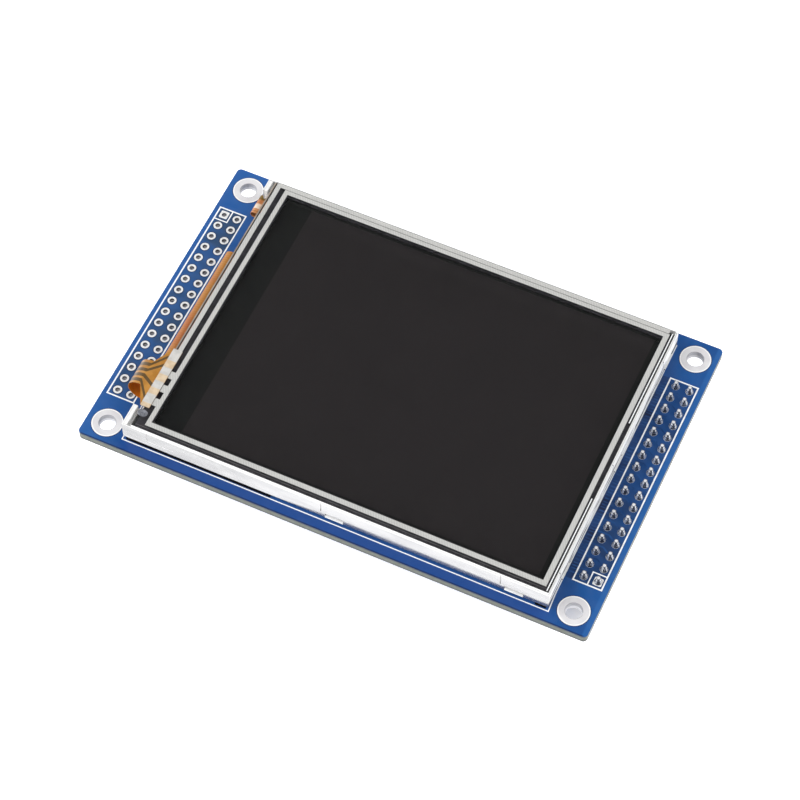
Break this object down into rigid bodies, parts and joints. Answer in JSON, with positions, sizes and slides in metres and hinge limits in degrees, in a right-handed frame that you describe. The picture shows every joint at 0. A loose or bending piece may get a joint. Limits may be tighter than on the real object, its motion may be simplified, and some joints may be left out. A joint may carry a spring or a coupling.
{
  "type": "display module",
  "caption": "Flat display module: a circuit board with corner holes and a pin header carries a steel-trayed screen with a resistive touch panel and flexible leads.",
  "frame": {"origin": "centre of the four corner holes, on the back face of the circuit board", "axes": "+Z out of the screen, +X along the board towards the soldered pin header, +Y across the board"},
  "size_m": [0.094, 0.0616, 0.0153],
  "materials": {
    "solder_mask": "gloss",
    "tinned_copper": "satin",
    "gold_pins": "polished",
    "header_black": "satin",
    "solder": "satin",
    "foam_tape": "matte",
    "tray_steel": "polished",
    "white_moulding": "satin",
    "reflector_white": "satin",
    "clear_acrylic": "gloss",
    "led_yellow": "satin",
    "led_flex": "satin",
    "diffusing_film": "satin",
    "prism_film": "satin",
    "black_tape": "matte",
    "polarizer_film": "gloss",
    "display_glass": "gloss",
    "chip_silicon": "gloss",
    "black_foam": "matte",
    "touch_panel_glass": "gloss",
    "silver_ink": "satin",
    "touch_film": "gloss",
    "amber_flex": "gloss",
    "orange_flex": "gloss",
    "bond_seal": "satin",
    "package_black": "matte",
    "tinned_leads": "satin",
    "resistor_black": "satin",
    "capacitor_tan": "satin"
  },
  "bodies": {
    "root": {"circuit_board": "solder_mask", "mounting_rings": "tinned_copper", "header_pins": "gold_pins", "header_insulator": "header_black", "solder_joints": "solder", "mounting_tape": "foam_tape", "metal_frame": "tray_steel", "light_frame": "white_moulding", "reflector_sheet": "reflector_white", "light_guide": "clear_acrylic", "backlight_leds": "led_yellow", "backlight_flex": "led_flex", "diffuser_sheet": "diffusing_film", "lower_prism_sheet": "prism_film", "upper_prism_sheet": "prism_film", "rim_tape": "black_tape", "rear_polarizer": "polarizer_film", "tft_glass": "display_glass", "filter_glass": "display_glass", "front_polarizer": "polarizer_film", "driver_chip": "chip_silicon", "display_flex": "orange_flex", "touch_gasket": "black_foam", "touch_glass": "touch_panel_glass", "silver_electrodes": "silver_ink", "touch_film": "touch_film", "touch_flex": "amber_flex", "touch_flex_seal": "bond_seal", "controller_body": "package_black", "controller_leads": "tinned_leads", "transistor_body": "package_black", "transistor_leads": "tinned_leads", "resistor_bodies": "resistor_black", "resistor_ends": "tinned_leads", "capacitor_bodies": "capacitor_tan", "capacitor_ends": "tinned_leads"}
  },
  "joints": []
}
